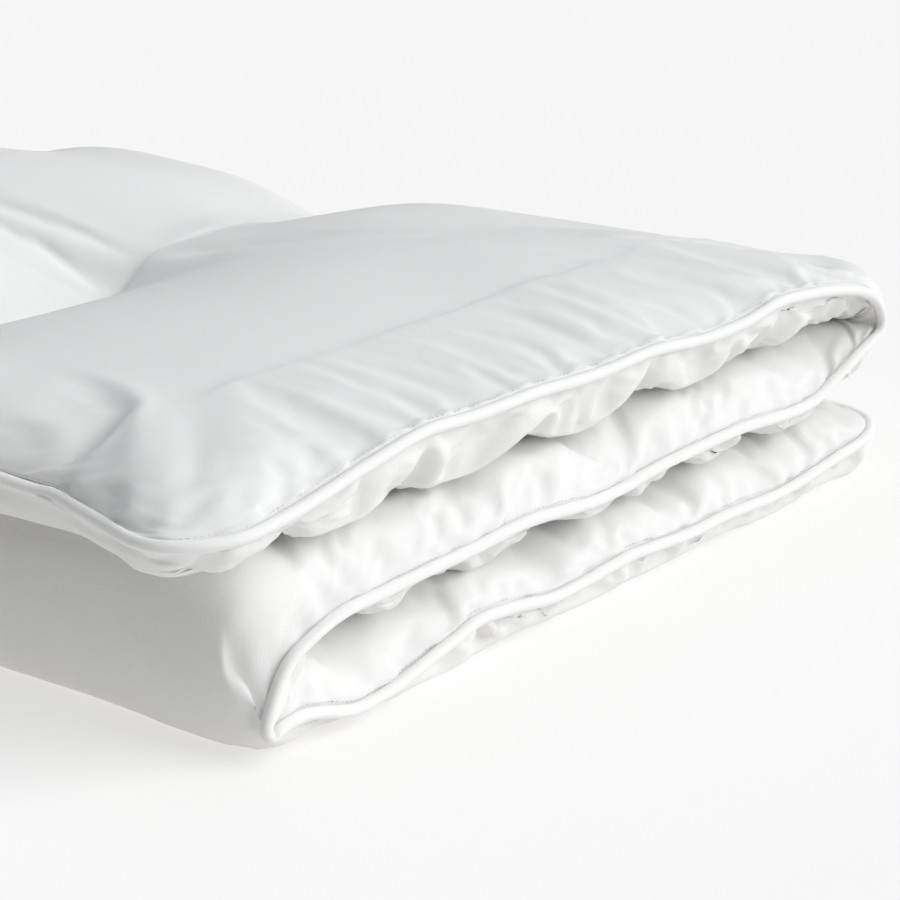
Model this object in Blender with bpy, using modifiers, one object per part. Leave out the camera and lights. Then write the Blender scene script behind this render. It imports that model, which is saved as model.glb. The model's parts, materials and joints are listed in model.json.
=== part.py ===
"""Single duvet with a piped cotton casing, folded in three over its length, in metres, +Z up.

The three leaves lie on each other as a Z. Each fold is a short padded piece of its own, hinged to
the leaf below it and to the leaf above it, so that the duvet opens out flat. X runs from the left
fold to the right fold, Y along the folds. The origin is on the floor, under the middle of the stack.
"""

import math

import bmesh
import bpy

# Overall sizes
SEAM_WIDTH = 1.32  # between the two side seams, along the folds
LEAF_LOFT = 0.054  # thickness of one leaf of the folded duvet
FOLD_SPAN = 0.67  # from the crest of the left fold to the crest of the right fold
TOP_OVERHANG = 0.035  # how far the top leaf's end seam passes the left fold's crest
BOTTOM_SETBACK = 0.026  # how far the bottom leaf's end seam stops short of the right fold's crest
CORNER_RADIUS = 0.06  # plan radius of the casing's four corners
END_ROUNDING = 0.1  # length over which a free end closes from full loft to its seam

# Channels and quilting
CHANNELS = 3
CHANNEL_FLAT = 0.4  # share of a channel's width that lies flat on the leaf or floor below
QUILT_SHARE = 0.35  # loft left at a quilted row, as a share of the full loft
STITCHED_RUN = 0.27  # length of one stitched stretch of a quilted row
RUN_TO_END = 0.114  # from the top leaf's end seam to the start of its stitched stretch
THREAD_WIDTH = 0.0012

# Cloth, piping and clearances
CASING = 0.001  # thickness of the casing cloth
PIPING_RADIUS = 0.00325
PIPING_COVER = 0.0009  # thickness of the bias strip round the piping cord
TOUCH_GAP = 0.0003  # between pieces that touch
LEAF_GAP = 0.0006  # between leaves that lie on each other
WADDING_INSET = 0.002  # between the casing's inner face and the wadding

# Stations at which a channel, a free end and a fold are shaped
CHANNEL_STATIONS = (0.0, 0.03, 0.12, 0.3, 0.7, 0.88, 0.97)
WADDING_STATIONS = (0.05, 0.15, 0.5, 0.85, 0.95)
END_STATIONS = (0.0, 0.12, 0.4, 1.0)
FOLD_TURNS = ((0, -90), (0, -45), (0, 0), (1, 0), (1, 45), (1, 90))  # (hinge axis, degrees)
CORNER_STEPS = 6

# Derived sizes
HALF_WIDTH = SEAM_WIDTH / 2
HALF_LOFT = LEAF_LOFT / 2
CHANNEL_WIDTH = SEAM_WIDTH / CHANNELS
LEAF_PITCH = LEAF_LOFT + LEAF_GAP
RIM = CASING + TOUCH_GAP / 2
PIPING_OFFSET = PIPING_RADIUS + TOUCH_GAP
PIPING_REACH = PIPING_OFFSET + PIPING_RADIUS
RIGHT_CREST = (FOLD_SPAN + TOP_OVERHANG + PIPING_REACH) / 2
LEFT_CREST = RIGHT_CREST - FOLD_SPAN
LEFT_PIVOT = LEFT_CREST + HALF_LOFT
RIGHT_PIVOT = RIGHT_CREST - HALF_LOFT
TOP_END = LEFT_CREST - TOP_OVERHANG
BOTTOM_END = RIGHT_CREST - BOTTOM_SETBACK
LEAF_TO_PIVOT = HALF_LOFT + TOUCH_GAP


def clear_scene():
    for obj in list(bpy.data.objects):
        bpy.data.objects.remove(obj, do_unlink=True)


def material(name, colour, roughness):
    made = bpy.data.materials.new(name)
    made.use_nodes = True
    shader = made.node_tree.nodes["Principled BSDF"]
    shader.inputs["Base Color"].default_value = (*colour, 1.0)
    shader.inputs["Roughness"].default_value = roughness
    shader.inputs["Metallic"].default_value = 0.0
    return made


def pivot(name, x, z, parent=None):
    """An empty on a hinge axis, which runs along Y."""
    empty = bpy.data.objects.new(name, None)
    empty.empty_display_size = HALF_LOFT
    duvet.objects.link(empty)
    empty.parent = parent
    empty.location = (x, 0, z)
    return empty


def place(name, data, finish, parent, location=(0, 0, 0)):
    obj = bpy.data.objects.new(name, data)
    data.materials.append(finish)
    duvet.objects.link(obj)
    obj.parent = parent
    obj.location = location
    return obj


def bulge(at):
    """Loft of a channel at a place across it, from 0 at its edges to 1 on its flat middle."""
    past_flat = max(abs(1 - 2 * at) - CHANNEL_FLAT, 0) / (1 - CHANNEL_FLAT)
    return math.sqrt(1 - past_flat**2)


def closing(inward):
    """Loft at this share of END_ROUNDING in from an end seam."""
    return math.sqrt(1 - (1 - inward) ** 2.5)


def half_width_at(inward):
    """Half of the casing's width at a distance in from an end seam, with its rounded corners."""
    if inward >= CORNER_RADIUS:
        return HALF_WIDTH
    return HALF_WIDTH - CORNER_RADIUS + math.sqrt(CORNER_RADIUS**2 - (CORNER_RADIUS - inward) ** 2)


def channel_point(channel, at, half_width):
    """(y, share of the loft) at a place across one channel."""
    low = -half_width if channel == 0 else -HALF_WIDTH + CHANNEL_WIDTH * channel
    high = half_width if channel == CHANNELS - 1 else -HALF_WIDTH + CHANNEL_WIDTH * (channel + 1)
    low_share = 0 if channel == 0 else QUILT_SHARE
    high_share = 0 if channel == CHANNELS - 1 else QUILT_SHARE
    edge = low_share + (high_share - low_share) * at
    return low + (high - low) * at, edge + (1 - edge) * bulge(at)


def across(half_width):
    """(y, share of the loft) from one side seam to the other."""
    points = [
        channel_point(channel, at, half_width)
        for channel in range(CHANNELS)
        for at in CHANNEL_STATIONS
    ]
    return points + [(half_width, 0)]


def mesh_of(name, rings, closed):
    """A mesh through rings of points: an open sheet, or a solid closed round each ring and capped."""
    form = bmesh.new()
    rows = [[form.verts.new(point) for point in ring] for ring in rings]
    count = len(rows[0])
    for low, high in zip(rows, rows[1:]):
        for i in range(count if closed else count - 1):
            j = (i + 1) % count
            form.faces.new((low[i], low[j], high[j], high[i]))
    if closed:
        form.faces.new(rows[0])
        form.faces.new(rows[-1])
        bmesh.ops.recalc_face_normals(form, faces=form.faces)
    data = bpy.data.meshes.new(name)
    form.to_mesh(data)
    form.free()
    data.shade_smooth()
    return data


def face_out(data, outward):
    """Turns an open sheet's faces so that most of them look along outward."""
    total = sum(face.normal.dot(outward) * face.area for face in data.polygons)
    if total < 0:
        data.flip_normals()


def cloth(name, rings, outward, parent):
    """A casing panel: an open sheet given the cloth's thickness on its inner side."""
    data = mesh_of(name, rings, closed=False)
    face_out(data, outward)
    panel = place(name, data, cotton, parent)
    solidify = panel.modifiers.new("Cloth thickness", "SOLIDIFY")
    solidify.thickness = CASING
    solidify.offset = -1
    return panel


def leaf_rows(start, end, free_end):
    """(x, half width, share of the loft) along a leaf; free_end is -1, 0 or 1, the side of its end seam."""
    if free_end == 0:
        return [(start, HALF_WIDTH, 1), (end, HALF_WIDTH, 1)]
    seam, other = (start, end) if free_end < 0 else (end, start)
    rows = []
    for station in END_STATIONS:
        inward = END_ROUNDING * station
        rows.append((seam - free_end * inward, half_width_at(inward), closing(station)))
    rows.append((other, HALF_WIDTH, 1))
    return rows


def leaf_panel(name, start, end, free_end, side, parent):
    """The upper (side 1) or lower (side -1) casing panel of a leaf."""
    rings = [
        [(x, y, side * (RIM + (HALF_LOFT - RIM) * share * loft)) for y, share in across(half_width)]
        for x, half_width, loft in leaf_rows(start, end, free_end)
    ]
    cloth(name, rings, (0, 0, side), parent)


def fold_panel(name, side, parent):
    """A fold's casing panel: the half that faces side along X, round the fold's two hinge axes."""
    rings = []
    for axis, turn in FOLD_TURNS:
        angle = math.radians(turn)
        ring = []
        for y, share in across(HALF_WIDTH):
            radius = RIM + (HALF_LOFT - RIM) * share
            x = RIM + (radius - RIM) * math.cos(angle)
            ring.append((side * x, y, LEAF_PITCH * axis + radius * math.sin(angle)))
        rings.append(ring)
    cloth(name, rings, (side, 0, 0), parent)


def wadding_half(share):
    return RIM + (HALF_LOFT - RIM) * share - CASING - WADDING_INSET


def leaf_wadding(name, channel, start, end, free_end, parent):
    """The filling of one channel of a leaf."""
    rings = []
    for x, half_width, loft in leaf_rows(start, end, free_end):
        if loft == 0:
            continue
        line = [channel_point(channel, at, half_width) for at in WADDING_STATIONS]
        upper = [(x, y, wadding_half(share * loft)) for y, share in line]
        lower = [(x, y, -wadding_half(share * loft)) for y, share in reversed(line)]
        rings.append(upper + lower)
    place(name, mesh_of(name, rings, closed=True), hollow_fibre, parent)


def fold_wadding(name, channel, parent):
    """The filling of one channel of a fold: a flat bar with both edges round."""
    turns = [(1, *turn) for turn in FOLD_TURNS] + [(-1, *turn) for turn in FOLD_TURNS[-2:0:-1]]
    rings = []
    for at in WADDING_STATIONS:
        y, share = channel_point(channel, at, HALF_WIDTH)
        radius = wadding_half(share)
        ring = []
        for side, axis, turn in turns:
            angle = math.radians(turn)
            z = LEAF_PITCH * axis + radius * math.sin(angle)
            ring.append((side * radius * math.cos(angle), y, z))
        rings.append(ring)
    place(name, mesh_of(name, rings, closed=True), hollow_fibre, parent)


def tube(name, points, radius, wall, finish, parent):
    """A round cord along points or, with a wall, the hollow cover round one, open at both ends."""
    data = bpy.data.curves.new(name, "CURVE")
    data.dimensions = "3D"
    data.bevel_depth = radius
    data.bevel_resolution = 2
    data.use_fill_caps = wall is None
    spline = data.splines.new("POLY")
    spline.points.add(len(points) - 1)
    for item, point in zip(spline.points, points):
        item.co = (*point, 1.0)
    obj = place(name, data, finish, parent)
    if wall is not None:
        solidify = obj.modifiers.new("Strip thickness", "SOLIDIFY")
        solidify.thickness = wall
        solidify.offset = -1
    return obj


def piping(name, points, parent):
    """A length of piping: the bias strip that covers it and the cord inside."""
    tube(f"{name}_piping_cover", points, PIPING_RADIUS, PIPING_COVER, piping_cotton, parent)
    cord_radius = PIPING_RADIUS - PIPING_COVER - TOUCH_GAP
    tube(f"{name}_piping_cord", points, cord_radius, None, cord_cotton, parent)


def edge_route(seam, other, free_end):
    """Piping's route round a leaf's free end, from the front side seam to the back one."""
    out = HALF_WIDTH + PIPING_OFFSET
    radius = CORNER_RADIUS + PIPING_OFFSET
    centre_x = seam - free_end * CORNER_RADIUS
    corner = []
    for step in range(CORNER_STEPS + 1):
        angle = math.pi / 2 * step / CORNER_STEPS
        x = centre_x + free_end * radius * math.sin(angle)
        corner.append((x, -out + radius - radius * math.cos(angle), 0))
    front = [(other, -out, 0)] + corner
    return front + [(x, -y, z) for x, y, z in reversed(front)]


def side_pipings(name, start, end, parent):
    """Straight lengths of piping along both side seams, from start to end in the plane of X and Z."""
    for word, side in (("front", -1), ("back", 1)):
        y = side * (HALF_WIDTH + PIPING_OFFSET)
        points = [(start[0], y, start[1]), (end[0], y, end[1])]
        piping(f"{name}_{word}", points, parent)


def quilting(leaf, centre_x, parent):
    """The thread of a leaf's two stitched rows, drawn between its upper and lower panels."""
    valley = RIM + (HALF_LOFT - RIM) * QUILT_SHARE
    height = 2 * (valley - CASING - 2 * TOUCH_GAP)
    for row in range(1, CHANNELS):
        form = bmesh.new()
        bmesh.ops.create_cube(form, size=1)
        bmesh.ops.scale(form, vec=(STITCHED_RUN, THREAD_WIDTH, height), verts=form.verts)
        word = "front" if row == 1 else "back"
        name = f"{leaf}_{word}_quilting_thread"
        data = bpy.data.meshes.new(name)
        form.to_mesh(data)
        form.free()
        place(name, data, thread, parent, (centre_x, -HALF_WIDTH + CHANNEL_WIDTH * row, 0))


def leaf(name, body, start, end, free_end, run_centre):
    """One leaf, from its fold end or end seam at start to the one at end, in its pivot's frame."""
    leaf_panel(f"{name}_upper_panel", start, end, free_end, 1, body)
    leaf_panel(f"{name}_lower_panel", start, end, free_end, -1, body)
    for channel in range(CHANNELS):
        leaf_wadding(f"{name}_wadding_{channel + 1}", channel, start, end, free_end, body)
    quilting(name, run_centre, body)


def fold(name, body, side):
    """One fold, whose outer face looks along side; its lower hinge axis is at its pivot."""
    fold_panel(f"{name}_outer_panel", side, body)
    fold_panel(f"{name}_inner_panel", -side, body)
    for channel in range(CHANNELS):
        fold_wadding(f"{name}_wadding_{channel + 1}", channel, body)
    side_pipings(name, (0, 0), (0, LEAF_PITCH), body)


clear_scene()
duvet = bpy.data.collections.new("folded_duvet")
bpy.context.scene.collection.children.link(duvet)

cotton = material("casing_cotton", (0.86, 0.87, 0.89), 0.85)
piping_cotton = material("piping_cotton", (0.9, 0.89, 0.87), 0.8)
cord_cotton = material("piping_cord", (0.85, 0.83, 0.78), 0.9)
hollow_fibre = material("hollow_fibre_wadding", (0.93, 0.93, 0.92), 0.95)
thread = material("quilting_thread", (0.9, 0.9, 0.9), 0.6)

root = pivot("bottom_leaf", 0, HALF_LOFT)
left_low = pivot("left_fold", LEFT_PIVOT, 0, root)
left_high = pivot("middle_leaf", 0, LEAF_PITCH, left_low)
right_low = pivot("right_fold", RIGHT_PIVOT - LEFT_PIVOT, 0, left_high)
right_high = pivot("top_leaf", 0, LEAF_PITCH, right_low)

# Piping stops short of the fold's own piping, which turns about the hinge axis
piping_stop = PIPING_RADIUS + 2 * TOUCH_GAP

leaf("bottom", root, LEFT_PIVOT + LEAF_TO_PIVOT, BOTTOM_END, 1, (LEFT_PIVOT + BOTTOM_END) / 2)
piping("bottom", edge_route(BOTTOM_END, LEFT_PIVOT + piping_stop, 1), root)

fold("left_fold", left_low, -1)

middle_length = RIGHT_PIVOT - LEFT_PIVOT
leaf("middle", left_high, LEAF_TO_PIVOT, middle_length - LEAF_TO_PIVOT, 0, middle_length / 2)
side_pipings("middle", (piping_stop, 0), (middle_length - piping_stop, 0), left_high)

fold("right_fold", right_low, 1)

top_seam = TOP_END - RIGHT_PIVOT
leaf("top", right_high, top_seam, -LEAF_TO_PIVOT, -1, top_seam + RUN_TO_END + STITCHED_RUN / 2)
piping("top", edge_route(top_seam, -piping_stop, -1), right_high)
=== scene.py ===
"""The looks of a piped single duvet, folded in three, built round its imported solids, in metres.

The casing is drawn as two panels, sewn to each other round all four edges. The face panel is the
upper one on the bottom and top leaves and the lower one on the middle leaf; the reverse panel is
its other side. Both are grids: rows run along the duvet's length, from the bottom leaf's end seam
to the top leaf's, and columns run across it, from the front side seam to the back one.
"""

import json
import math

import bpy
import numpy as np
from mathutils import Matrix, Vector


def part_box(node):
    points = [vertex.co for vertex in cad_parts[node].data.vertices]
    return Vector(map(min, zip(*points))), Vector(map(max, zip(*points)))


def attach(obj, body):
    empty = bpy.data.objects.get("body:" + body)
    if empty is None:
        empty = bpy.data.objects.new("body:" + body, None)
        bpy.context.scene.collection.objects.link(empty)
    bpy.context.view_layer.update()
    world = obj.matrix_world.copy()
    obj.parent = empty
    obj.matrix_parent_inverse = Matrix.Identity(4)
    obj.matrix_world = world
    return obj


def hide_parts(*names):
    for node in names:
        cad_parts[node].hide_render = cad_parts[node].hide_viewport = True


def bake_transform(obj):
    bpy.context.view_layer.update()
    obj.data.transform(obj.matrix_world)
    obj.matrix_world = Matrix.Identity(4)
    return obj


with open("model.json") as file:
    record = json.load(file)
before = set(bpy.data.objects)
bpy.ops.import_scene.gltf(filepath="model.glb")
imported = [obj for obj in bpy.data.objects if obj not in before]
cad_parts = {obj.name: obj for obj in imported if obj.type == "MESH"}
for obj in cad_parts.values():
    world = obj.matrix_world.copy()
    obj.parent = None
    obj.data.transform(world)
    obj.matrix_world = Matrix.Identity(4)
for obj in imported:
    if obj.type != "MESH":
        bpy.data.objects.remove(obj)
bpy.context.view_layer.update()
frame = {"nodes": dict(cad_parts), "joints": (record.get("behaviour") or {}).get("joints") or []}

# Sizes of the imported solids
hinge = {joint["name"]: joint["pos_m"] for joint in frame["joints"]}
LEVELS = (hinge["left_fold_opens"][2], hinge["middle_leaf_opens"][2], hinge["top_leaf_opens"][2])
PITCH = LEVELS[1] - LEVELS[0]
LOFT = 2 * LEVELS[0]
TURN = PITCH / 2  # radius of a fold's middle line
LEFT_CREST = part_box("left_fold_outer_panel")[0].x
RIGHT_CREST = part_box("right_fold_outer_panel")[1].x
LEFT_TURN_X = LEFT_CREST + TURN + LOFT / 2
RIGHT_TURN_X = RIGHT_CREST - TURN - LOFT / 2
BOTTOM_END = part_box("bottom_upper_panel")[1].x
TOP_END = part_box("top_upper_panel")[0].x
HALF_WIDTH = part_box("top_upper_panel")[1].y
ROW_Y = HALF_WIDTH / 3  # the two quilted rows are this far from the middle
LEAF_TOP = LEVELS[2] + LOFT / 2

# How the casing lies
SKIN = 0.0004  # clearance left between panels that lie on each other
CORNER_RADIUS = 0.045
LEAF_EASE = 0.03  # how far into a leaf one leaf's value eases to the next one's
SEAM_PULL = 0.15  # how far in from a side seam its own height is felt
BACK_SEAM_SHARE = 0.75  # how much of the front seam's line the back seam follows
BACK_WANDER = 0.004  # how far the back seam strays from it
BACK_WAVES = (0.21, 0.13, 0.34)
# How far in from the side seams each panel is at its full height: on the bottom leaf, left fold,
# middle leaf, right fold and top leaf; then from the bottom and top end seams
FACE_REACH = (0.085, 0.035, 0.02, 0.12, 0.1)
REVERSE_REACH = (0.009, 0.042, 0.08, 0.035, 0.02)
FACE_END_REACH = (0.085, 0.09)
REVERSE_END_REACH = (0.03, 0.016)
VALLEY_SAG = 0.03  # how far the stack sinks along a quilted row
VALLEY_WIDTH = 0.1
PINCH_WIDTH = 0.11  # from a stitched row to the full loft beside it
PINCH_LEFT = 0.05  # share of the loft left at the stitches
PINCH_SINK = 0.014
PINCH_EASE = 0.05  # past each end of a stitched run
RIGHT_DROOP = 0.26  # share of its height that the stack loses at the right fold
DROOP_FROM = 0.21
DROOP_RUN = 0.12
# Past the front row the stack droops sooner, over a longer run, and by less
FAR_FROM = -0.36
FAR_RUN = 0.18
FAR_SOONER = 0.1
FAR_LONGER = 0.08
FAR_LESS = 0.07
END_HANG = 0.007  # how far the top leaf's underside hangs past the left fold
HANG_FROM = 0.06  # from the top end seam
HANG_EASE = 0.035
HANG_IN = 0.07  # from a side seam
WAVE_REACH = 0.12  # how far in from the top end seam its wandering is felt
FOLD_LEAN = 0.009  # how far the left fold bulges past its crest
FOLD_SQUARE = 3.4  # how square the left fold is; 2 is round
LUMP_SIZE = 0.07
LUMP_HEIGHT = 0.0016
FLOOR_GAP = 0.0005  # height of the lowest cloth over the floor
LYING_UP_TO = 0.003  # cloth below this height lies on the floor
LYING_EASE = 0.012  # and cloth this much higher is free
FLOOR_SLIP = 0.3  # share of its move that lying cloth keeps, sideways
# How far in from the side seams, and from the end seams, the cloth is free to move, and the ease
FREE_SIDE = (0.035, 0.05)
FREE_END = (0.02, 0.04)
FREE_ALONG = 0.03
FREE_PAST_FOLD = 0.02  # how far past the left fold the reverse panel is free
ROW_STEP = 0.0075  # between the rows of the simulated casing
CORNER_ROWS = 8
EDGE_COLUMNS = 14
ROW_COLUMNS = 22
MIDDLE_COLUMNS = 13
COLUMN_EASE = 0.8  # how much closer the columns are at each end of a stretch than in its middle
ROW_COLUMN = 2 * (EDGE_COLUMNS + ROW_COLUMNS)  # the grid column of the front row, once refined

# Cloth simulation
CLOTH_FRAMES = 18
CLOTH_PRESSURE = 3.0
GATHER = 0.11  # extra length of cloth that is eased into the seams
GATHER_REACH = 0.11
ON_ROW = 0.002  # how near a quilted row a point is held by its stitches
RUN_HELD = 0.6  # and how far along the ease of a stitched run that starts
UPPER_EASED = 0.68  # share of the gathers left out where a panel faces up
WRINKLE_SPREAD = 5  # neighbours; wider swellings than these are evened out
MOST_MOVE = 0.007
LEAST_SHARE = 0.1  # share of that move which is left at the seams
SIDE_FADE = 6  # columns from a side seam, and rows from an end seam, to the full move
END_FADE = 10

# Puckers at the seams: how far apart, how deep, how long and how wide; then how far from an end
# seam the side puckers are whole, from a side seam the end puckers are, and from any seam both are
UPPER_PUCKERS = (0.042, 0.0013, 0.034, 0.0045)
LOWER_PUCKERS = (0.048, 0.0027, 0.040, 0.0062)
FINE_PUCKERS = (0.013, 0.0005, 0.010, 0.003)
END_PUCKERS = (0.045, 0.0016, 0.036, 0.005)
WHOLE_FROM_END = 0.05
WHOLE_FROM_SIDE = 0.03
WHOLE_FROM_SEAM = 0.004

# Piping and stitches
PIPING_RADIUS = 0.0036
PIPING_STEP = 0.003
PIPING_SIDES = 12
PIPING_UNEVEN = 0.03  # share of its radius by which the piping thins and thickens
PIPING_WAVES = (0.031, 0.047, 0.083)
WAY_IN = 14  # points in from the seam that show which way is out of the cloth
WAY_SPREAD = 7  # neighbours on each side that the way out is evened with
STITCH_PITCH = 0.0036
STITCH_LENGTH = 0.0025
STITCH_RADIUS = 0.00035
STITCH_SIDES = 5
SEAM_TO_STITCH = 0.0045
STITCH_DEPTH = 7  # points in from the seam, which reach past its stitches
GROOVE_DEPTH = 0.0011  # the groove that the seam stitches lie in
GROOVE_WIDTH = 0.0022

# Where the front side seam lies, x and z, along each leaf from its right end or from its left end
BOTTOM_SEAM = (
    (0.331, 0.030), (0.309, 0.031), (0.281, 0.025), (0.233, 0.020), (0.089, 0.018), (0.017, 0.023),
    (-0.067, 0.020), (-0.136, 0.028), (-0.177, 0.021), (-0.215, 0.012), (-0.244, 0.010),
    (-0.270, 0.018), (-0.286, 0.022), (-0.299, 0.019), (-0.318, 0.016),
)
MIDDLE_SEAM = (
    (-0.318, 0.016), (-0.307, 0.034), (-0.298, 0.046), (-0.289, 0.054), (-0.275, 0.060),
    (-0.262, 0.066), (-0.244, 0.070), (-0.166, 0.072), (0.012, 0.069), (0.134, 0.072),
    (0.228, 0.070), (0.264, 0.080), (0.292, 0.091), (0.313, 0.098),
)
TOP_SEAM = (
    (0.313, 0.098), (0.311, 0.110), (0.298, 0.125), (0.279, 0.132), (0.223, 0.141), (0.181, 0.144),
    (0.143, 0.139), (0.034, 0.145), (-0.062, 0.145), (-0.137, 0.147), (-0.181, 0.149),
    (-0.242, 0.143), (-0.288, 0.132), (-0.311, 0.129), (-0.349, 0.129),
)
# How far the top end seam wanders from straight, by place across the duvet
TOP_END_WAVE = ((-0.66, -0.018), (-0.63, -0.017), (-0.583, 0.0), (-0.54, 0.014), (-0.5, 0.01),
                (-0.38, -0.004), (-0.22, 0.012), (0.0, -0.006), (0.22, 0.01), (0.45, -0.006),
                (0.6, 0.006), (0.66, -0.008))

# Lengths along the duvet at which its leaves and folds meet
bottom_length = BOTTOM_END - LEFT_TURN_X
turn_length = math.pi * TURN
middle_length = RIGHT_TURN_X - LEFT_TURN_X
top_length = RIGHT_TURN_X - TOP_END
LEFT_TURN_AT = bottom_length
MIDDLE_AT = LEFT_TURN_AT + turn_length
RIGHT_TURN_AT = MIDDLE_AT + middle_length
TOP_AT = RIGHT_TURN_AT + turn_length
LENGTH = TOP_AT + top_length
LEFT_CREST_AT = LEFT_TURN_AT + turn_length / 2
MIDDLE_MID_AT = MIDDLE_AT + middle_length / 2
RIGHT_CREST_AT = RIGHT_TURN_AT + turn_length / 2


def smooth(value):
    """A smooth step from 0 at 0 to 1 at 1."""
    value = np.clip(value, 0, 1)
    return value * value * (3 - 2 * value)


def rounded(value):
    """Height of a quarter ellipse, from 0 at 0 to 1 at 1."""
    value = np.clip(value, 0, 1)
    return np.sqrt(np.maximum(1 - (1 - value) ** 2, 0))


def waves(at, lengths, seed):
    """A sum of sine waves of these lengths along at, between about -1 and 1."""
    draw = np.random.default_rng(seed)
    total = np.zeros_like(at)
    for length in lengths:
        total += np.sin(2 * math.pi * at / length + draw.uniform(0, 2 * math.pi))
    return total / len(lengths)


def soft_noise(first, second, size, seed):
    """Smooth noise over a surface, with lumps of about this size, between about -1 and 1."""
    draw = np.random.default_rng(seed)
    total = np.zeros(np.broadcast(first, second).shape)
    turns = 9
    for _ in range(turns):
        angle = draw.uniform(0, math.pi)
        length = size * draw.uniform(1.4, 3.0)
        phase = draw.uniform(0, 2 * math.pi)
        along = first * math.cos(angle) + second * math.sin(angle)
        total += np.sin(2 * math.pi * along / length + phase)
    return total / math.sqrt(turns)


def smooth_line(points, fineness=0.001, spread=0.006):
    """A smooth line that passes close to these points, as closely spaced points."""
    points = np.array(points, float)
    steps = np.linalg.norm(np.diff(points, axis=0), axis=1)
    reached = np.concatenate([[0], np.cumsum(steps)])
    at = np.linspace(0, reached[-1], int(reached[-1] / fineness))
    line = np.stack([np.interp(at, reached, column) for column in points.T], 1)
    half = int(2.5 * spread / fineness)
    kernel = np.exp(-0.5 * (np.arange(-half, half + 1) * fineness / spread) ** 2)
    kernel /= kernel.sum()
    before = 2 * line[0] - line[half:0:-1]
    after = 2 * line[-1] - line[-2:-half - 2:-1]
    padded = np.concatenate([before, line, after])
    return np.stack([np.convolve(column, kernel, "valid") for column in padded.T], 1)


def along_line(line, share):
    """Points of a line at shares of its length."""
    reached = np.concatenate([[0], np.cumsum(np.linalg.norm(np.diff(line, axis=0), axis=1))])
    return np.stack([np.interp(share * reached[-1], reached, column) for column in line.T], 1)


def row_stations():
    """Places along the duvet's length, closer together at its rounded corners."""
    corner = CORNER_RADIUS * (1 - np.cos(np.linspace(0, math.pi / 2, CORNER_ROWS + 1)))
    count = round((LENGTH - 2 * CORNER_RADIUS) / ROW_STEP)
    middle = np.linspace(CORNER_RADIUS, LENGTH - CORNER_RADIUS, count + 1)
    return np.concatenate([corner[:-1], middle, LENGTH - corner[:-1][::-1]])


def middle_line(s):
    """The leaves' and folds' middle line: its points (x, z) and its direction at lengths s."""
    x, z = np.zeros_like(s), np.zeros_like(s)
    dx, dz = np.zeros_like(s), np.zeros_like(s)
    for start, x0, way, level in (
        (0, BOTTOM_END, -1, 0),
        (MIDDLE_AT, LEFT_TURN_X, 1, 1),
        (TOP_AT, RIGHT_TURN_X, -1, 2),
    ):
        on = s >= start
        x[on], z[on] = x0 + way * (s[on] - start), LEVELS[level]
        dx[on], dz[on] = way, 0
    for start, centre, way, level in (
        (LEFT_TURN_AT, LEFT_TURN_X, -1, 0),
        (RIGHT_TURN_AT, RIGHT_TURN_X, 1, 1),
    ):
        on = (s > start) & (s < start + turn_length)
        angle = (s[on] - start) / TURN
        x[on] = centre + way * TURN * np.sin(angle)
        z[on] = LEVELS[level] + TURN * (1 - np.cos(angle))
        dx[on], dz[on] = way * np.cos(angle), np.sin(angle)
    return np.stack([x, z], 1), np.stack([dx, dz], 1)


def side_seam(s):
    """The front side seam's line (x, z) at lengths s."""
    seam = np.zeros((len(s), 2))
    for start, end, points in (
        (0, LEFT_CREST_AT, BOTTOM_SEAM),
        (LEFT_CREST_AT, RIGHT_CREST_AT, MIDDLE_SEAM),
        (RIGHT_CREST_AT, LENGTH, TOP_SEAM),
    ):
        on = (s >= start) & (s <= end)
        seam[on] = along_line(smooth_line(points), (s[on] - start) / (end - start))
    return seam


def by_leaf(s, bottom, left, middle, right, top):
    """A value for each leaf and fold, eased from one to the next."""
    places = (LEFT_TURN_AT - LEAF_EASE, LEFT_CREST_AT, MIDDLE_AT + LEAF_EASE,
              RIGHT_TURN_AT - LEAF_EASE, RIGHT_CREST_AT, TOP_AT + LEAF_EASE)
    return np.interp(s, places, (bottom, left, middle, middle, right, top))


def run_of(leaf):
    """The stitched stretch of a leaf's quilted rows, in lengths along the duvet."""
    low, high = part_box(f"{leaf}_front_quilting_thread")
    if leaf == "middle":
        return MIDDLE_AT + low.x - LEFT_TURN_X, MIDDLE_AT + high.x - LEFT_TURN_X
    if leaf == "bottom":
        return BOTTOM_END - high.x, BOTTOM_END - low.x
    return TOP_AT + RIGHT_TURN_X - high.x, TOP_AT + RIGHT_TURN_X - low.x


def stitched(s):
    """1 along the stitched stretches and 0 away from them."""
    total = np.zeros_like(s)
    for leaf in ("bottom", "middle", "top"):
        start, end = run_of(leaf)
        begun = smooth((s - start + PINCH_EASE) / PINCH_EASE)
        total += begun * smooth((end + PINCH_EASE - s) / PINCH_EASE)
    return total


def columns_across(half_width, reach):
    """Places y across a panel for one row, closer together at its edges and quilted rows."""
    turn = np.linspace(0, math.pi / 2, EDGE_COLUMNS + 1)
    edge = reach * (1 - np.cos(turn))
    share = np.linspace(0, 1, ROW_COLUMNS + 1)
    eased = share - COLUMN_EASE * np.sin(2 * math.pi * share) / (2 * math.pi)
    to_row = reach + (half_width - ROW_Y - reach) * eased
    to_middle = (half_width - ROW_Y) + ROW_Y * np.linspace(0, 1, MIDDLE_COLUMNS + 1) ** 1.3
    inward = np.concatenate([edge[:-1], to_row[:-1], to_middle])
    y = -half_width + inward
    return np.concatenate([y, -y[-2::-1]])


def half_width_at(s):
    """Half of the duvet's width at lengths s, with its rounded corners."""
    inward = np.minimum(np.minimum(s, LENGTH - s), CORNER_RADIUS)
    across = CORNER_RADIUS - np.sqrt(np.maximum(CORNER_RADIUS**2 - (CORNER_RADIUS - inward) ** 2, 0))
    return HALF_WIDTH - across


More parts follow.
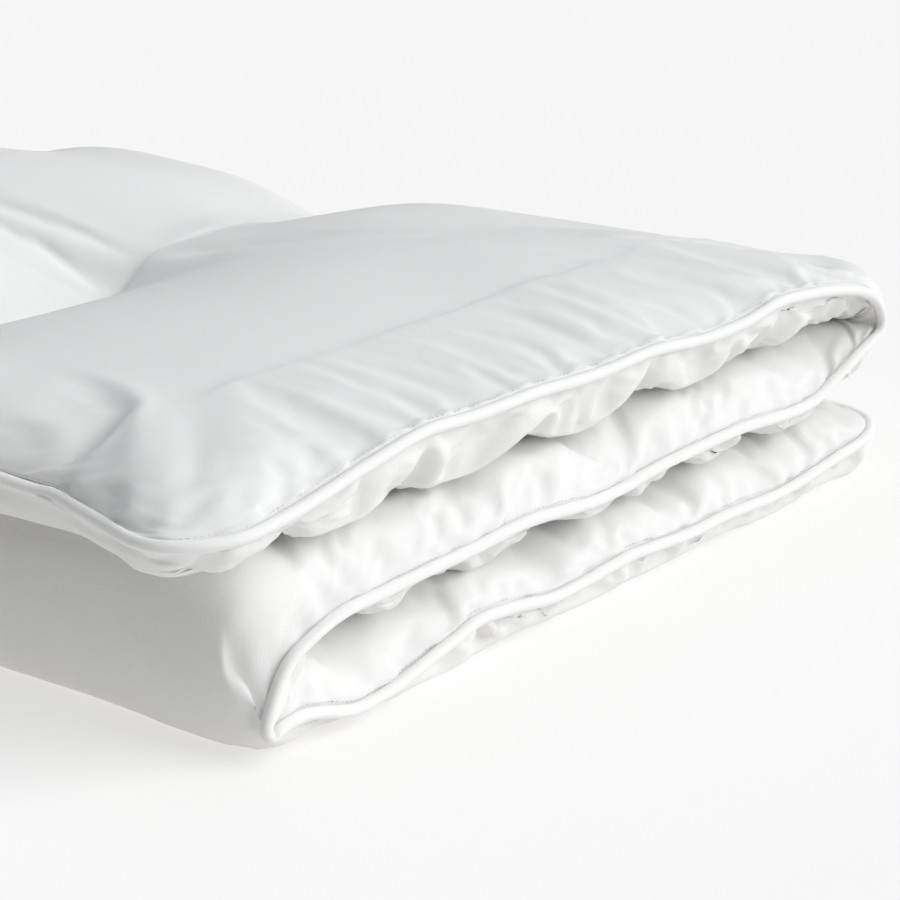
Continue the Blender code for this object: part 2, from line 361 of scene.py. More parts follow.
def reach_of(s, side):
    """How far in from the side seams, and from the end seams, a panel is at its full height."""
    reach, ends = (FACE_REACH, FACE_END_REACH) if side > 0 else (REVERSE_REACH, REVERSE_END_REACH)
    return by_leaf(s, *reach), np.where(s < LENGTH / 2, *ends)


def thickness(s, y, side):
    """How far a panel stands off the middle line, away from its seams."""
    bulk = np.full(y.shape, LOFT / 2 - SKIN)
    if side < 0:
        turn = np.clip((s - LEFT_TURN_AT) / turn_length, 0, 1) * math.pi
        sides = np.sin(turn) ** FOLD_SQUARE + np.abs(np.cos(turn)) ** FOLD_SQUARE
        square = sides ** (-1 / FOLD_SQUARE)
        bulge = (TURN + LOFT / 2) * (square - 1) + FOLD_LEAN * np.sin(turn)
        on_turn = (s > LEFT_TURN_AT) & (s < MIDDLE_AT)
        bulk += np.where(on_turn, bulge, 0)[:, None]
    pinch = stitched(s)[:, None]
    kept = 1 - pinch * (1 - PINCH_LEFT) * (1 - rounded(beside_row(y) / PINCH_WIDTH))
    return bulk * kept


def beside_row(y):
    """How far each place across the duvet is from the nearer quilted row."""
    return np.abs(np.abs(y) - ROW_Y)


def sunk(s, x, y, near):
    """The share of its height that each point loses along the rows and towards the right fold."""
    valley = np.exp(-((beside_row(y) / VALLEY_WIDTH) ** 2))
    top_pinch = np.where(s > TOP_AT, stitched(s), 0)[:, None]
    sag = VALLEY_SAG * valley + PINCH_SINK * valley * top_pinch
    far = smooth((y - FAR_FROM) / FAR_RUN)
    begun = smooth((x - DROOP_FROM + FAR_SOONER * far) / (DROOP_RUN + FAR_LONGER * far))
    droop = (RIGHT_DROOP - FAR_LESS * far) * begun * (1 - near**3)
    return sag / LEAF_TOP, droop


def panel(s, side):
    """One casing panel as a grid of points; side is 1 for the face panel and -1 for the reverse."""
    line, direction = middle_line(s)
    outward = np.stack([direction[:, 1], -direction[:, 0]], 1) * side
    reach, end_reach = reach_of(s, side)
    widths = half_width_at(s)
    y = np.stack([columns_across(w, r) for w, r in zip(widths, reach)])
    inward = widths[:, None] - np.abs(y)
    rise = rounded(inward / reach[:, None]) * rounded(np.minimum(s, LENGTH - s) / end_reach)[:, None]

    # The seam's own line draws the panel to its height near each side
    seam = side_seam(s) - line
    wander = BACK_WANDER * waves(s, BACK_WAVES, 5)
    back = BACK_SEAM_SHARE * seam + np.stack([np.zeros_like(wander), wander], 1)
    near = 1 - smooth(inward / SEAM_PULL)
    pull = np.where((y < 0)[..., None], seam[:, None], back[:, None]) * near[..., None]
    low = line[:, None] + pull
    full = line[:, None] + outward[:, None] * thickness(s, y, side)[..., None]
    points = low + (full - low) * rise[..., None]
    x, z = points[..., 0], points[..., 1]

    end = 1 - smooth((LENGTH - s) / WAVE_REACH)
    x = x + end[:, None] * np.interp(y, *zip(*TOP_END_WAVE))
    sag, droop = sunk(s, x, y, near)
    z = z * (1 - sag - droop)
    if side < 0:
        hang = END_HANG * rise * smooth((HANG_FROM - (LENGTH - s)) / HANG_EASE)[:, None]
        z = z - hang * smooth(inward / HANG_IN)
    return np.stack([x, y, z], 2)


def soften(s, grid, side):
    """A panel with the uneven fullness of the wadding where it is free to bulge."""
    y = grid[..., 1]
    lumps = LUMP_HEIGHT * soft_noise(s[:, None] * np.ones_like(y), y, LUMP_SIZE, 11)
    lumps = lumps * freedom(s, grid, side)
    flat = np.abs(facing(s, side))[:, None]
    grid[..., 2] += lumps * flat
    grid[..., 0] += lumps * (1 - flat)
    return grid


def facing(s, side):
    """How far a panel faces up, from -1 to 1, at lengths s."""
    _, direction = middle_line(s)
    return -direction[:, 0] * side


def upward(s, side):
    """1 where a panel faces up and 0 where it faces down, at lengths s, for a grid's rows."""
    return smooth(facing(s, side) + 0.5)[:, None]


def freedom(s, grid, side):
    """How free each point of a panel is to move: 0 where it lies on the floor or on another leaf."""
    y = grid[..., 1]
    inward = half_width_at(s)[:, None] - np.abs(y)
    edge = 1 - smooth((inward - FREE_SIDE[0]) / FREE_SIDE[1])
    at_end = 1 - smooth((np.minimum(s, LENGTH - s) - FREE_END[0]) / FREE_END[1])[:, None]
    if side > 0:
        open_rows = smooth((s - RIGHT_TURN_AT) / FREE_ALONG)
    else:
        open_rows = smooth((s - LEFT_TURN_AT) / FREE_ALONG)
        open_rows = open_rows * smooth((MIDDLE_AT + FREE_PAST_FOLD - s) / FREE_ALONG)
    return np.maximum(np.maximum(edge, at_end), open_rows[:, None])


def weld(face, reverse):
    """Both panels as one closed mesh: points, faces, and each panel's grid of point numbers."""
    rows, columns = face.shape[:2]
    face_index = np.arange(rows * columns).reshape(rows, columns)
    reverse_index = face_index.copy()
    inner = np.arange((rows - 2) * (columns - 2)).reshape(rows - 2, columns - 2)
    reverse_index[1:-1, 1:-1] = rows * columns + inner
    points = np.concatenate([face.reshape(-1, 3), reverse[1:-1, 1:-1].reshape(-1, 3)])
    faces = []
    for index, turned in ((face_index, False), (reverse_index, True)):
        a, b, c, d = index[:-1, :-1], index[:-1, 1:], index[1:, 1:], index[1:, :-1]
        quads = np.stack([a, d, c, b] if turned else [a, b, c, d], 2)
        faces.append(quads.reshape(-1, 4))
    return points, np.concatenate(faces), face_index, reverse_index


def mesh_from(name, points, faces):
    """A mesh of these points and faces, shaded smooth."""
    data = bpy.data.meshes.new(name)
    data.from_pydata(points.tolist(), [], faces.tolist())
    data.update()
    data.shade_smooth()
    return data


BORDERS = ((0, slice(None)), (-1, slice(None)), (slice(None), 0), (slice(None), -1))


def blown_up(s, face, reverse):
    """The panels after a cloth simulation: gathered on to their seams and filled from inside."""
    points, faces, face_index, reverse_index = weld(face, reverse)
    held, fitted = np.zeros(len(points)), np.zeros(len(points))
    for grid, index, side in ((reverse, reverse_index, -1), (face, face_index, 1)):
        inward = half_width_at(s)[:, None] - np.abs(grid[..., 1])
        inward = np.minimum(inward, np.minimum(s, LENGTH - s)[:, None])
        held[index] = 1 - freedom(s, grid, side)
        stitches = (beside_row(grid[..., 1]) < ON_ROW) & (stitched(s)[:, None] > RUN_HELD)
        held[index[stitches]] = 1
        eased = 1 - UPPER_EASED * upward(s, side)
        fitted[index] = 1 - eased * (1 - smooth(inward / GATHER_REACH))
    for border in BORDERS:
        held[face_index[border]] = 1
    cloth_piece = bpy.data.objects.new("casing_in_simulation", mesh_from("casing", points, faces))
    bpy.context.scene.collection.objects.link(cloth_piece)
    for name, weights in (("held", held), ("fitted", fitted)):
        group = cloth_piece.vertex_groups.new(name=name)
        for number, weight in enumerate(weights):
            group.add([number], float(weight), "REPLACE")
    cloth = cloth_piece.modifiers.new("Cloth", "CLOTH")
    settings = cloth.settings
    settings.quality = 5
    settings.mass = 0.15
    settings.tension_stiffness = 20
    settings.compression_stiffness = 20
    settings.shear_stiffness = 8
    settings.bending_stiffness = 0.05
    settings.use_pressure = True
    settings.uniform_pressure_force = CLOTH_PRESSURE
    settings.vertex_group_mass = "held"
    settings.pin_stiffness = 1
    settings.vertex_group_shrink = "fitted"
    settings.shrink_min = -GATHER
    settings.shrink_max = 0
    settings.effector_weights.gravity = 0
    cloth.collision_settings.use_collision = False
    scene = bpy.context.scene
    for number in range(1, CLOTH_FRAMES + 1):
        scene.frame_set(number)
    graph = bpy.context.evaluated_depsgraph_get()
    result = cloth_piece.evaluated_get(graph).to_mesh()
    moved = np.zeros(len(points) * 3, np.float32)
    result.vertices.foreach_get("co", moved)
    scene.frame_set(1)
    bpy.data.objects.remove(cloth_piece, do_unlink=True)
    move = moved.reshape(-1, 3) - points
    made = []
    for grid, index in ((face, face_index), (reverse, reverse_index)):
        step = move[index]
        step = step - blurred(step, WRINKLE_SPREAD)
        rows, columns = np.arange(step.shape[0]), np.arange(step.shape[1])
        across = np.minimum(columns, columns[::-1]) / SIDE_FADE
        down = np.minimum(rows, rows[::-1]) / END_FADE
        near = np.minimum(smooth(across)[None, :], smooth(down)[:, None])
        most = MOST_MOVE * (LEAST_SHARE + (1 - LEAST_SHARE) * near)[..., None]
        distance = np.maximum(np.linalg.norm(step, axis=2, keepdims=True), 1e-9)
        made.append(grid + step * most * np.tanh(distance / most) / distance)
    for border in BORDERS:
        made[0][border] = face[border]
        made[1][border] = face[border]
    return made


def blurred(grid, spread):
    """A grid averaged over a square of neighbours, twice."""
    for axis in (0, 1, 0, 1):
        ends = [(spread, spread) if axis == number else (0, 0) for number in range(3)]
        padded = np.cumsum(np.pad(grid, ends, "edge"), axis=axis)
        padded = np.insert(padded, 0, 0, axis=axis)
        width = 2 * spread + 1
        count = padded.shape[axis]
        high = np.take(padded, range(width, count), axis=axis)
        low = np.take(padded, range(0, count - width), axis=axis)
        grid = (high - low) / width
    return grid


def halved(grid):
    """A grid with a new row between every two, by a smooth four-point rule."""
    ends = np.concatenate([2 * grid[:1] - grid[1:2], grid, 2 * grid[-1:] - grid[-2:-1]])
    between = (9 * (ends[1:-2] + ends[2:-1]) - ends[:-3] - ends[3:]) / 16
    made = np.zeros((2 * len(grid) - 1, *grid.shape[1:]))
    made[::2], made[1::2] = grid, between
    return made


def refined(grid):
    """A grid with twice the rows and twice the columns."""
    return halved(halved(grid).swapaxes(0, 1)).swapaxes(0, 1)


def normals_of(grid):
    """The unit normal at each point of a grid."""
    along = np.gradient(grid, axis=0)
    across = np.gradient(grid, axis=1)
    normal = np.cross(across, along)
    return normal / np.maximum(np.linalg.norm(normal, axis=2, keepdims=True), 1e-12)


class Value:
    """A number in a material, so that shader maths is written as an expression."""

    def __init__(self, finish, socket):
        self.finish = finish
        self.socket = socket

    def maths(self, operation, first, second):
        """The result of a Math node on two numbers."""
        return self.finish.node("ShaderNodeMath", {"operation": operation}, {0: first, 1: second})

    def __add__(self, other):
        return self.maths("ADD", self, other)

    def __mul__(self, other):
        return self.maths("MULTIPLY", self, other)

    __radd__ = __add__
    __rmul__ = __mul__


class Finish:
    """One procedural material: a Principled shader and the nodes that feed it."""

    def __init__(self, name, constants):
        self.material = bpy.data.materials.new(name)
        self.material.use_nodes = True
        self.tree = self.material.node_tree
        self.shader = self.tree.nodes["Principled BSDF"]
        for socket, value in constants.items():
            self.shader.inputs[socket].default_value = value

    def node(self, kind, settings, sockets, output=0):
        """Adds a node, sets it up, and returns one of its outputs."""
        node = self.tree.nodes.new(kind)
        for name, value in settings.items():
            setattr(node, name, value)
        self.feed(node, sockets)
        return Value(self, node.outputs[output])

    def feed(self, node, sockets):
        """Sets a node's sockets, or links them to the values given."""
        for name, value in sockets.items():
            if isinstance(value, Value):
                self.tree.links.new(value.socket, node.inputs[name])
            else:
                node.inputs[name].default_value = value

    def blend(self, factor, first, second):
        """A colour between two others."""
        made = self.node("ShaderNodeMix", {"data_type": "RGBA"}, {"Factor": factor}, output=2)
        mix = made.socket.node
        for socket, colour in ((mix.inputs[6], first), (mix.inputs[7], second)):
            socket.default_value = (*colour, 1)
        return made

    def noise(self, place, scale, detail=3.0):
        """Cloudy variation from 0 to 1."""
        return self.node("ShaderNodeTexNoise", {}, {"Vector": place, "Scale": scale, "Detail": detail})

    def threads(self, place, direction, scale, wander):
        """Evenly spaced threads across one direction of the cloth."""
        return self.node(
            "ShaderNodeTexWave",
            {"bands_direction": direction, "wave_profile": "SIN"},
            {"Vector": place, "Scale": scale, "Distortion": wander, "Detail": 1.0},
            output=1,
        )


def place_on_cloth(finish, turn=0.0):
    """Places on the flat cloth, in metres, turned by an angle."""
    flat = finish.node("ShaderNodeUVMap", {"uv_map": "cloth"}, {})
    return finish.node("ShaderNodeMapping", {}, {"Vector": flat, "Rotation": (0, 0, turn)})


def cotton_cloth(name, light, shade, turn, rib, wrinkle):
    """Plain-woven cotton: fine threads both ways, faint slubs and soft creases."""
    finish = Finish(name, {"Sheen Weight": 0.2, "Sheen Roughness": 0.45, "Specular IOR Level": 0.25})
    place = place_on_cloth(finish, turn)
    clouds = finish.noise(place, 7.0)
    slubs = finish.noise(place, 900.0, 2.0)
    colour = finish.blend(0.7 * clouds + 0.3 * slubs, light, shade)
    weave = finish.threads(place, "X", rib, 2.0) + finish.threads(place, "Y", rib, 2.0)
    creases = finish.noise(place, 55.0, 4.0)
    height = 0.5 * weave + 0.6 * slubs + wrinkle * creases
    bump = finish.node(
        "ShaderNodeBump", {}, {"Strength": 0.35, "Distance": 0.0006, "Height": height}
    )
    roughness = 0.78 + 0.14 * slubs
    finish.feed(finish.shader, {"Base Color": colour, "Roughness": roughness, "Normal": bump})
    return finish.material


def sewing_thread():
    """Twisted polyester thread, a little glossier than the cloth."""
    finish = Finish("quilting_thread", {"Sheen Weight": 0.1, "Specular IOR Level": 0.4})
    place = place_on_cloth(finish, math.radians(35))
    twist = finish.threads(place, "X", 700.0, 0.5)
    bump = finish.node("ShaderNodeBump", {}, {"Strength": 0.5, "Distance": 0.0002, "Height": twist})
    colour = finish.blend(twist, (0.80, 0.80, 0.80), (0.9, 0.9, 0.89))
    finish.feed(finish.shader, {"Base Color": colour, "Roughness": 0.5 + 0.15 * twist, "Normal": bump})
    return finish.material


def add_piece(name, data, material):
    """A shown piece of the duvet."""
    piece = bpy.data.objects.new(name, data)
    data.materials.append(material)
    bpy.context.scene.collection.objects.link(piece)
    return piece


def lay_cloth_places(data, places):
    """Stores each point's place on the flat cloth as the mesh's UV map, in metres."""
    layer = data.uv_layers.new(name="cloth")
    corners = np.zeros(len(data.loops), np.int32)
    data.loops.foreach_get("vertex_index", corners)
    layer.data.foreach_set("uv", places[corners].astype(np.float32).ravel())


def take(points, faces, chosen):
    """Only the chosen faces, with the points that they use and those points' numbers."""
    used, numbers = np.unique(faces[chosen], return_inverse=True)
    return points[used], numbers.reshape(-1, faces.shape[1]), used


# Each section of the casing, from the bottom end: its name, where it ends, the bodies that it
# joins and its hinge
SECTIONS = (
    ("bottom_leaf", LEFT_CREST_AT, "bottom_leaf", "left_fold", "left_fold_opens"),
    ("left_fold", MIDDLE_MID_AT, "left_fold", "middle_leaf", "middle_leaf_opens"),
    ("middle_leaf", RIGHT_CREST_AT, "middle_leaf", "right_fold", "right_fold_opens"),
    ("top_leaf", LENGTH, "right_fold", "top_leaf", "top_leaf_opens"),
)


def bend(piece, section):
    """Bakes the placing of a section of cloth, piping or stitches into its mesh; it is not bent round
    its hinge.
    """
    _, _, first, second, joint = section
    on_left = joint in ("left_fold_opens", "middle_leaf_opens")
    level = (LEVELS[0] if on_left else LEVELS[1]) + TURN
    onto_fold = joint in ("left_fold_opens", "right_fold_opens")
    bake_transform(piece)


def section_of(s):
    """The number of the section that each length along the duvet falls in."""
    ends = np.array([section[1] for section in SECTIONS[:-1]])
    return np.searchsorted(ends, s, side="right")


def casing_pieces(s, face, reverse, material):
    """The casing, one piece for each section."""
    points, faces, face_index, reverse_index = weld(face, reverse)
    places = np.zeros((len(points), 2))
    for grid, index in ((reverse, reverse_index), (face, face_index)):
        places[index] = np.stack([s[:, None] * np.ones(grid.shape[:2]), grid[..., 1]], 2)
    whole = mesh_from("whole_casing", points, faces)
    normals = np.zeros(len(points) * 3, np.float32)
    whole.vertices.foreach_get("normal", normals)
    normals = normals.reshape(-1, 3)
    bpy.data.meshes.remove(whole)
    middle = places[faces, 0].mean(1)
    number = section_of(middle)
    made = []
    for index, section in enumerate(SECTIONS):
        kept_points, kept_faces, used = take(points, faces, number == index)
        name = f"{section[0]}_casing"
        data = mesh_from(name, kept_points, kept_faces)
        lay_cloth_places(data, places[used])
        data.normals_split_custom_set_from_vertices(normals[used].tolist())
        piece = add_piece(name, data, material)
        bend(piece, section)
        made.append(piece)
    return made


def rim(grid, depth=0):
    """The grid's points right round its border, or this many points in from it."""
    rows, columns = grid.shape[:2]
    row = np.concatenate([
        np.arange(rows), np.full(columns - 1, rows - 1),
        np.arange(rows - 2, -1, -1), np.zeros(columns - 2, int),
    ])
    column = np.concatenate([
        np.zeros(rows, int), np.arange(1, columns),
        np.full(rows - 1, columns - 1), np.arange(columns - 2, 0, -1),
    ])
    return grid[np.clip(row, depth, rows - 1 - depth), np.clip(column, depth, columns - 1 - depth)]


def spaced(step, line, *others):
    """A closed line and values along it, taken again at even steps, after the distances."""
    closed = [np.concatenate([item, item[:1]]) for item in (line, *others)]
    lengths = np.linalg.norm(np.diff(closed[0], axis=0), axis=1)
    reached = np.concatenate([[0], np.cumsum(lengths)])
    at = np.linspace(0, reached[-1], int(reached[-1] / step), endpoint=False)
    made = [np.stack([np.interp(at, reached, column) for column in item.T], 1) for item in closed]
    return at, *made


def seam_loop(s, face, reverse):
    """The seam right round the duvet: distances, points, the way out, and lengths along it."""
    inside = (rim(face, WAY_IN) + rim(reverse, WAY_IN)) / 2
    lengths = rim(np.repeat(s[:, None, None], face.shape[1], axis=1))
    at, line, out, length = spaced(PIPING_STEP, rim(face), rim(face) - inside, lengths)
    out /= np.linalg.norm(out, axis=1, keepdims=True)
    out = around(out, WAY_SPREAD) * (1, 1, 0)
    out /= np.linalg.norm(out, axis=1, keepdims=True)
    return at, around(line, 2), out, length[:, 0]


def stitch_line(s, grid):
    """The line of stitches beside the seam: where each starts and ends, and the way up there."""
    strip = np.stack([rim(grid, depth) for depth in range(STITCH_DEPTH)], 1)
    lengths = np.linalg.norm(np.diff(strip, axis=1), axis=2)
    reached = np.concatenate([np.zeros((len(strip), 1)), np.cumsum(lengths, axis=1)], 1)
    line = np.stack([
        [np.interp(SEAM_TO_STITCH, far, column) for column in points.T]
        for far, points in zip(reached, strip)
    ])
    outward = line - strip[:, 0]
    length = rim(np.repeat(s[:, None, None], grid.shape[1], axis=1))
    _, starts, outward, length = spaced(STITCH_PITCH, around(line, 1), outward, length)
    along = np.roll(starts, -1, axis=0) - starts
    up = np.cross(along, outward)
    up /= np.linalg.norm(up, axis=1, keepdims=True)
    return starts, starts + along * STITCH_LENGTH / STITCH_PITCH, up, length[:, 0]


def around(values, spread):
    """A closed run of values, each averaged with its neighbours."""
    total = sum(np.roll(values, shift, axis=0) for shift in range(-spread, spread + 1))
    return total / (2 * spread + 1)


def frames_along(line, out):
    """For each point of a closed line, two unit directions across it: out, and up."""
    along = np.roll(line, -1, axis=0) - np.roll(line, 1, axis=0)
    along /= np.linalg.norm(along, axis=1, keepdims=True)
    out = out - along * (along * out).sum(1, keepdims=True)
    out /= np.linalg.norm(out, axis=1, keepdims=True)
    return out, np.cross(along, out)


def piping_pieces(s, face, reverse, material):
    """The piping round the seam, one piece for each section."""
    at, line, out, length = seam_loop(s, face, reverse)
    out, up = frames_along(line, out)
    centre = line + out * PIPING_RADIUS
    uneven = 1 + PIPING_UNEVEN * waves(at, PIPING_WAVES, 3)
    turn = np.linspace(0, 2 * math.pi, PIPING_SIDES, endpoint=False)
    ring = np.cos(turn)[None, :, None] * out[:, None] + np.sin(turn)[None, :, None] * up[:, None]
    points = centre[:, None] + ring * (PIPING_RADIUS * uneven)[:, None, None]
    count = len(line)
    a = np.arange(count * PIPING_SIDES).reshape(count, PIPING_SIDES)
    b = np.roll(a, -1, axis=1)
    d = np.roll(a, -1, axis=0)
    c = np.roll(d, -1, axis=1)
    faces = np.stack([a, d, c, b], 2).reshape(-1, 4)
    number = np.repeat(section_of((length + np.roll(length, -1)) / 2), PIPING_SIDES)
    places = np.stack(np.broadcast_arrays(at[:, None], PIPING_RADIUS * turn[None]), 2).reshape(-1, 2)
    points = points.reshape(-1, 3)
    made = []
    for index, section in enumerate(SECTIONS):
        kept_points, kept_faces, used = take(points, faces, number == index)
        name = f"{section[0]}_piping"
        data = mesh_from(name, kept_points, kept_faces)
        lay_cloth_places(data, places[used])
        piece = add_piece(name, data, material)
        bend(piece, section)
        made.append(piece)
    return made


# The rings of a stitch: how far along it, its share of the radius, and radii above the cloth
STITCH_RINGS = ((0, 0.5, -0.8), (0.2, 1, 0.4), (0.8, 1, 0.4), (1, 0.5, -0.8))


def stitch_mesh(name, starts, ends, ups, material):
    """Many short stitches as one mesh: each a thread that dips into the cloth at both ends."""
    along = ends - starts
    along /= np.linalg.norm(along, axis=1, keepdims=True)
    side = np.cross(along, ups)
    side /= np.linalg.norm(side, axis=1, keepdims=True)
    rings = []
    for share, thick, lift in STITCH_RINGS:
        middle = starts + (ends - starts) * share + ups * STITCH_RADIUS * lift
        for turn in range(STITCH_SIDES):
            angle = 2 * math.pi * turn / STITCH_SIDES
            across = side * math.cos(angle) + ups * math.sin(angle)
            rings.append(middle + across * STITCH_RADIUS * thick)
    points = np.stack(rings, 1)
    pattern = []
    for ring in range(len(STITCH_RINGS) - 1):
        for turn in range(STITCH_SIDES):
            a = ring * STITCH_SIDES + turn
            b = ring * STITCH_SIDES + (turn + 1) % STITCH_SIDES
            pattern.append((a, b, b + STITCH_SIDES, a + STITCH_SIDES))
    first = np.arange(len(points))[:, None, None] * points.shape[1]
    faces = (first + np.array(pattern)).reshape(-1, 4)
    flat = points.reshape(-1, 3)
    data = mesh_from(name, flat, faces)
    lay_cloth_places(data, flat[:, :2])
    piece = add_piece(name, data, material)
    return piece


def seam_stitches(s, face, reverse, material):
    """The line of stitches beside the piping on both panels, one piece for each section."""
    above, below = stitch_line(s, face), stitch_line(s, reverse)
    starts, ends, lengths = [np.concatenate([above[item], below[item]]) for item in (0, 1, 3)]
    ups = np.concatenate([-above[2], below[2]])
    number = section_of(lengths)
    for index, section in enumerate(SECTIONS):
        on = number == index
        piece = stitch_mesh(f"{section[0]}_seam_stitches", starts[on], ends[on], ups[on], material)
        bend(piece, section)


def row_stitches(s, face, reverse, material):
    """The stitches of each leaf's quilted rows, on both panels."""
    for leaf in ("bottom", "middle", "top"):
        start, end = run_of(leaf)
        on = (s >= start) & (s <= end)
        starts, ends, ups = [], [], []
        for grid, turned in ((face, -1), (reverse, 1)):
            normal = normals_of(grid) * turned
            for column in (ROW_COLUMN, grid.shape[1] - 1 - ROW_COLUMN):
                line, up = grid[on, column], normal[on, column]
                steps = np.linalg.norm(np.diff(line, axis=0), axis=1)
                reached = np.concatenate([[0], np.cumsum(steps)])
                at = np.arange(0, reached[-1] - STITCH_PITCH, STITCH_PITCH)
                for goal, place, values in (
                    (starts, at, line), (ends, at + STITCH_LENGTH, line), (ups, at, up),
                ):
                    goal.append(np.stack([np.interp(place, reached, item) for item in values.T], 1))
        gathered = [np.concatenate(item) for item in (starts, ends, ups)]
        piece = stitch_mesh(f"{leaf}_row_stitches", *gathered, material)
        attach(piece, f"{leaf}_leaf")
        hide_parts(f"{leaf}_front_quilting_thread", f"{leaf}_back_quilting_thread")


def distance_in(grid):
    """How far each point is from the nearest side seam, along the cloth, and from an end seam."""
    steps = np.linalg.norm(np.diff(grid, axis=1), axis=2)
    reached = np.concatenate([np.zeros((len(grid), 1)), np.cumsum(steps, axis=1)], 1)
    from_side = np.minimum(reached, reached[:, -1:] - reached)
    steps = np.linalg.norm(np.diff(grid, axis=0), axis=2)
    reached = np.concatenate([np.zeros((1, grid.shape[1])), np.cumsum(steps, axis=0)])
    return from_side, np.minimum(reached, reached[-1:] - reached)


def puckers(along, inward, places, seed, deep, length, width):
    """Radiating puckers at a seam: narrow furrows that start at it and run inward, each askew."""
    draw = np.random.default_rng(seed)
    total = np.zeros_like(inward)
    for place in places:
        slant, far = draw.uniform(-0.5, 0.5), length * draw.uniform(0.6, 1.7)
        depth, wide = deep * draw.uniform(0.35, 1.15), width * draw.uniform(0.7, 1.4)
        near = np.abs(along - place) < far + 5 * wide
        off = (along[near] - place - slant * inward[near]) / (wide * (1 + inward[near] / far))
        fade = smooth(inward[near] / 0.006) * np.exp(-((inward[near] / far) ** 2))
        furrow = np.exp(-(off**2)) - 0.5 * np.exp(-((np.abs(off) - 1.9) ** 2))
        total[near] -= depth * furrow * fade
    return total


def pucker_places(start, end, spacing, seed):
    """Uneven places along a seam, about this far apart."""
    draw = np.random.default_rng(seed)
    count = round((end - start) / spacing)
    even = start + (np.arange(count) + 0.5) * (end - start) / count
    return even + draw.uniform(-0.3, 0.3, count) * spacing


def detailed(s, grid, side, seed):
    """A panel with the groove of its seam stitches and the puckers at its seams."""
    from_side, from_end = distance_in(grid)
    along = s[:, None] * np.ones_like(from_side)
    up = upward(s, side)
    inward = np.minimum(from_side, from_end)
    height = -GROOVE_DEPTH * np.exp(-(((inward - SEAM_TO_STITCH) / GROOVE_WIDTH) ** 2))
    for number, half in ((0, grid[..., 1] < 0), (1, grid[..., 1] >= 0)):
        for (spacing, *sizes), share in (
            (UPPER_PUCKERS, up), (LOWER_PUCKERS, 1 - up), (FINE_PUCKERS, np.ones_like(up)),
        ):
            places = pucker_places(0, LENGTH, spacing, seed + number)
            drawn = puckers(along, from_side, places, seed + number + 7, *sizes)
            height += np.where(half, drawn, 0) * share * smooth(from_end / WHOLE_FROM_END)
    spacing, *sizes = END_PUCKERS
    places = pucker_places(-HALF_WIDTH, HALF_WIDTH, spacing, seed + 20)
    for half in (s < LENGTH / 2, s > LENGTH / 2):
        drawn = puckers(grid[..., 1], from_end, places, seed + 21, *sizes)
        height += np.where(half[:, None], drawn, 0) * smooth(from_side / WHOLE_FROM_SIDE)
    free = smooth(inward / WHOLE_FROM_SEAM)
    return grid - normals_of(grid) * side * (height * free)[..., None]


def laid_down(s, grid, before):
    """The reverse panel with the bottom leaf's share of it kept on the floor, as it was before."""
    off_floor = smooth((before[..., 2] - LYING_UP_TO) / LYING_EASE)
    off_floor = np.maximum(off_floor, smooth((s - LEFT_TURN_AT) / FREE_ALONG)[:, None])
    sideways = FLOOR_SLIP + (1 - FLOOR_SLIP) * off_floor
    return before + (grid - before) * np.stack([sideways, sideways, off_floor], 2)


# Shape of the casing
stations = row_stations()
face_panel = soften(stations, panel(stations, 1), 1)
reverse_panel = soften(stations, panel(stations, -1), -1)
for edge in BORDERS:
    reverse_panel[edge] = face_panel[edge]
at_rest = refined(reverse_panel)
face_panel, reverse_panel = blown_up(stations, face_panel, reverse_panel)
fine_stations = halved(stations[:, None])[:, 0]
face_panel = detailed(fine_stations, refined(face_panel), 1, 40)
reverse_panel = detailed(fine_stations, refined(reverse_panel), -1, 80)
reverse_panel = laid_down(fine_stations, reverse_panel, at_rest)
for grid in (face_panel, reverse_panel):
    grid[..., 2] = np.maximum(grid[..., 2], FLOOR_GAP)

# Pieces
casing_cotton = cotton_cloth(
    "casing_cotton", (0.875, 0.87, 0.86), (0.845, 0.838, 0.826), turn=0.0, rib=700.0, wrinkle=0.6
)
piping_cotton = cotton_cloth(
    "piping_cotton", (0.93, 0.925, 0.91), (0.90, 0.895, 0.88), turn=0.785, rib=800.0, wrinkle=0.2
)
thread = sewing_thread()
casings = casing_pieces(fine_stations, face_panel, reverse_panel, casing_cotton)
pipings = piping_pieces(fine_stations, face_panel, reverse_panel, piping_cotton)
seam_stitches(fine_stations, face_panel, reverse_panel, thread)
row_stitches(fine_stations, face_panel, reverse_panel, thread)

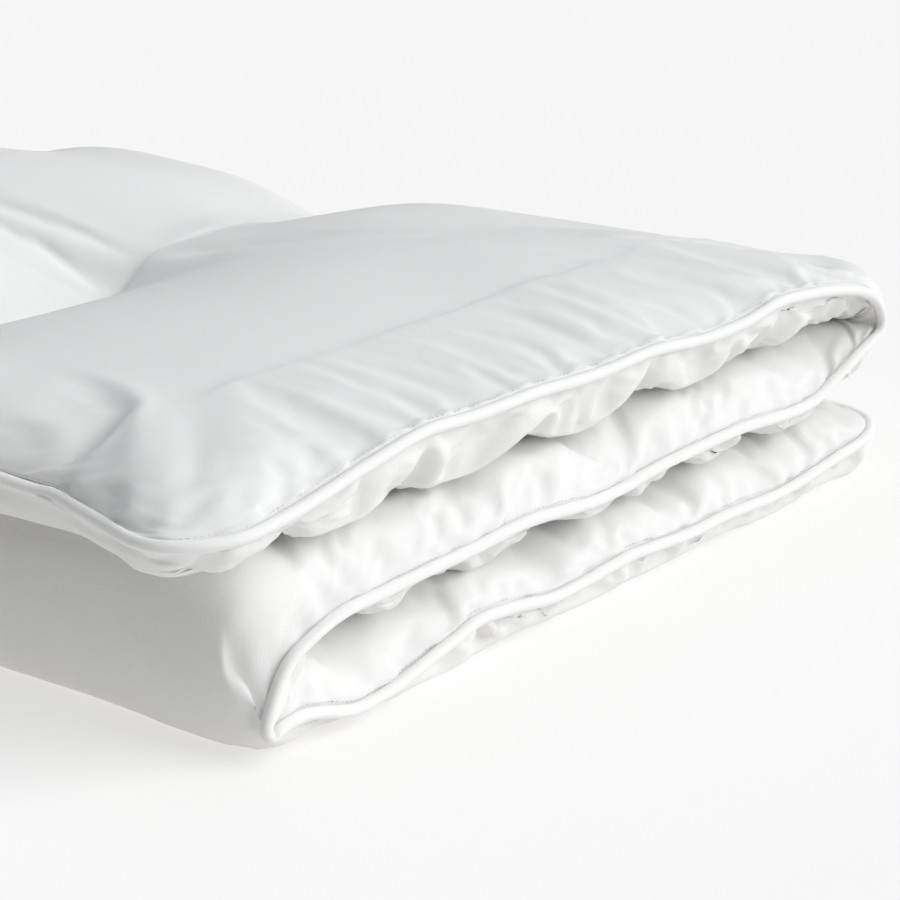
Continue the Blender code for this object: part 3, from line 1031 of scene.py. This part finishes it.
for start_of_name, number in (
    ("bottom_", 0), ("left_fold_", 1), ("middle_", 2), ("right_fold_", 2), ("top_", 3),
):
    for node in frame["nodes"]:
        if node.startswith(start_of_name) and "thread" not in node:
            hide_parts(node)


def studio():
    """A pale glowing floor, soft light from the front right and from above, and the camera."""
    size = 9.0
    corners = np.array([(-size, -size, 0), (size, -size, 0), (size, size, 0), (-size, size, 0)])
    data = mesh_from("floor", corners, np.array([[0, 1, 2, 3]]))
    glow = {"Emission Color": (1, 0.995, 0.985, 1), "Emission Strength": 0.51, "Specular IOR Level": 0.1}
    finish = Finish("lit_floor", glow)
    place = finish.node("ShaderNodeTexCoord", {}, {}, output=3)
    clouds = finish.noise(place, 3.0)
    colour = finish.blend(clouds, (0.455, 0.45, 0.445), (0.475, 0.47, 0.465))
    finish.feed(finish.shader, {"Base Color": colour, "Roughness": 0.85 + 0.05 * clouds})
    add_piece("floor", data, finish.material)
    world = bpy.data.worlds.new("studio_light")
    world.use_nodes = True
    world.node_tree.nodes["Background"].inputs["Color"].default_value = (0.985, 0.99, 1.0, 1)
    world.node_tree.nodes["Background"].inputs["Strength"].default_value = 0.1
    bpy.context.scene.world = world
    for name, toward, spread, strength, colour in (
        ("front_window", (0.39, -0.71, 0.56), 60, 2.75, (0.98, 0.99, 1.0)),
        ("overhead", (0.0, 0.25, 1.0), 90, 1.05, (0.93, 0.965, 1.0)),
    ):
        lamp = bpy.data.lights.new(name, "SUN")
        lamp.energy = strength
        lamp.angle = math.radians(spread)
        lamp.color = colour
        light = bpy.data.objects.new(name, lamp)
        light.rotation_mode = "QUATERNION"
        light.rotation_quaternion = Vector(toward).to_track_quat("Z", "Y")
        bpy.context.scene.collection.objects.link(light)
    camera_data = bpy.data.cameras.new("camera")
    camera_data.lens = 120
    camera_data.sensor_width = 36
    camera = bpy.data.objects.new("camera", camera_data)
    camera.location = (-1.385, -1.595, 0.62)
    camera.rotation_mode = "QUATERNION"
    camera.rotation_quaternion = Vector((0.7584, 0.5778, -0.3019)).to_track_quat("-Z", "Y")
    bpy.context.scene.collection.objects.link(camera)
    bpy.context.scene.camera = camera
    bpy.context.scene.view_settings.view_transform = "Standard"


studio()
